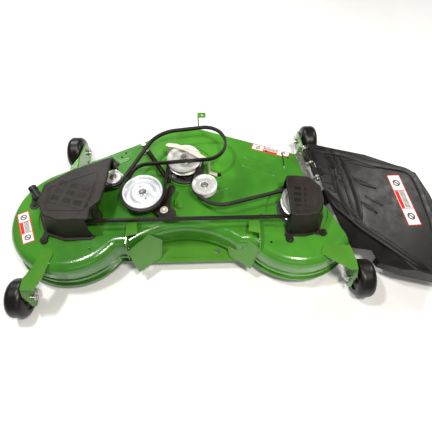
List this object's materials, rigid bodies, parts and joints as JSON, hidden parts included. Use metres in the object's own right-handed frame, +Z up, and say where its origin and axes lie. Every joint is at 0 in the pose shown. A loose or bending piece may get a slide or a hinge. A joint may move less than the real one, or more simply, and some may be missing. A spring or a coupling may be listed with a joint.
{
  "type": "side discharge mower cutting deck",
  "caption": "Green side discharge cutting deck for a riding mower: stamped shell, belt driven spindles and blades, gauge wheels and a hinged deflector.",
  "frame": {"origin": "on the ground plane under the middle of the line between the two outer spindles", "axes": "+X mower right, +Y forward, +Z up"},
  "size_m": [1.737, 0.88, 0.292],
  "materials": {
    "deck_green": "high gloss powder coat",
    "wheel_black": "smooth semi-gloss",
    "zinc_steel": "zinc plated",
    "bright_steel": "pressed and plated",
    "cast_housing": "painted casting",
    "black_steel": "satin black paint",
    "cover_plastic": "textured moulding",
    "chute_plastic": "moulded",
    "belt_rubber": "matte"
  },
  "bodies": {
    "deck": {"arm_pivot": "zinc_steel", "axle_bolts": "zinc_steel", "center_guard": "zinc_steel", "cover_left": "cover_plastic", "cover_right": "cover_plastic", "cover_screws": "zinc_steel", "deck_shell": "deck_green", "drive_belt": "belt_rubber", "front_hanger": "deck_green", "guard_bolt": "zinc_steel", "hairpin_clips": "zinc_steel", "hinge_bracket": "zinc_steel", "hinge_rod": "zinc_steel", "housing_bolts": "zinc_steel", "idler_bearings": "bright_steel", "idler_posts": "zinc_steel", "idler_stop": "deck_green", "lift_bracket_left": "deck_green", "lift_bracket_right": "deck_green", "rear_center_plate": "deck_green", "spindle_bearings": "bright_steel", "spindle_housing_center": "cast_housing", "spindle_housing_left": "cast_housing", "spindle_housing_right": "cast_housing", "spring_anchor": "zinc_steel", "tension_spring": "black_steel", "torsion_spring": "black_steel", "wash_port": "chute_plastic", "wheel_bracket_fl": "deck_green", "wheel_bracket_fr": "deck_green", "wheel_bracket_rl": "deck_green", "wheel_bracket_rr": "deck_green"},
    "spindle_left": {"shaft_left": "bright_steel", "sheave_left": "bright_steel", "sheave_nut_left": "zinc_steel", "blade_left": "black_steel", "blade_bolt_left": "zinc_steel"},
    "spindle_center": {"shaft_center": "bright_steel", "sheave_center": "bright_steel", "sheave_nut_center": "zinc_steel", "blade_center": "black_steel", "blade_bolt_center": "zinc_steel"},
    "spindle_right": {"shaft_right": "bright_steel", "sheave_right": "bright_steel", "sheave_nut_right": "zinc_steel", "blade_right": "black_steel", "blade_bolt_right": "zinc_steel"},
    "wheel_rl": {"gauge_wheel_rl": "wheel_black"},
    "wheel_rr": {"gauge_wheel_rr": "wheel_black"},
    "wheel_fl": {"gauge_wheel_fl": "wheel_black"},
    "wheel_fr": {"gauge_wheel_fr": "wheel_black"},
    "tension_arm": {"idler_arm": "black_steel", "idler_big_bolt": "zinc_steel", "idler_big_bearing": "bright_steel"},
    "tension_idler": {"idler_big": "bright_steel"},
    "guide_idler_small": {"idler_small": "bright_steel"},
    "guide_idler_third": {"idler_third": "bright_steel"},
    "chute": {"chute_deflector": "chute_plastic"}
  },
  "joints": [
    {"name": "spin_left", "type": "hinge", "parent": "deck", "child": "spindle_left", "pos_m": [-0.445, 0, 0.1], "axis": [0, 0, 1], "continuous": true},
    {"name": "spin_center", "type": "hinge", "parent": "deck", "child": "spindle_center", "pos_m": [0, 0.212, 0.1], "axis": [0, 0, 1], "continuous": true},
    {"name": "spin_right", "type": "hinge", "parent": "deck", "child": "spindle_right", "pos_m": [0.445, 0, 0.1], "axis": [0, 0, 1], "continuous": true},
    {"name": "arm_swing", "type": "hinge", "parent": "deck", "child": "tension_arm", "pos_m": [-0.075, -0.01, 0.21], "axis": [0, 0, 1], "range_deg": [-6, 6], "deforming": ["tension_spring", "drive_belt"]},
    {"name": "spin_idler_big", "type": "hinge", "parent": "tension_arm", "child": "tension_idler", "pos_m": [-0.158, 0.057, 0.238], "axis": [0, 0, 1], "continuous": true},
    {"name": "spin_idler_small", "type": "hinge", "parent": "deck", "child": "guide_idler_small", "pos_m": [0.082, 0.081, 0.238], "axis": [0, 0, 1], "continuous": true},
    {"name": "spin_idler_third", "type": "hinge", "parent": "deck", "child": "guide_idler_third", "pos_m": [-0.28, 0.13, 0.238], "axis": [0, 0, 1], "continuous": true},
    {"name": "chute_lift", "type": "hinge", "parent": "deck", "child": "chute", "pos_m": [0.514, 0.296, 0.199], "axis": [0.1873, -0.9823, 0], "range_deg": [0, 90]},
    {"name": "roll_rl", "type": "hinge", "parent": "deck", "child": "wheel_rl", "pos_m": [-0.612, -0.293, 0.073], "axis": [1, 0, 0], "continuous": true},
    {"name": "roll_rr", "type": "hinge", "parent": "deck", "child": "wheel_rr", "pos_m": [0.682, -0.251, 0.073], "axis": [1, 0, 0], "continuous": true},
    {"name": "roll_fl", "type": "hinge", "parent": "deck", "child": "wheel_fl", "pos_m": [-0.512, 0.397, 0.073], "axis": [1, 0, 0], "continuous": true},
    {"name": "roll_fr", "type": "hinge", "parent": "deck", "child": "wheel_fr", "pos_m": [0.57, 0.441, 0.073], "axis": [1, 0, 0], "continuous": true}
  ],
  "couplings": [
    {"joint": "spin_left", "follows": "spin_center", "ratio": 1},
    {"joint": "spin_right", "follows": "spin_center", "ratio": 1},
    {"joint": "spin_idler_big", "follows": "spin_center", "ratio": -0.76019},
    {"joint": "spin_idler_small", "follows": "spin_center", "ratio": -1.3376},
    {"joint": "spin_idler_third", "follows": "spin_center", "ratio": -1.651}
  ]
}
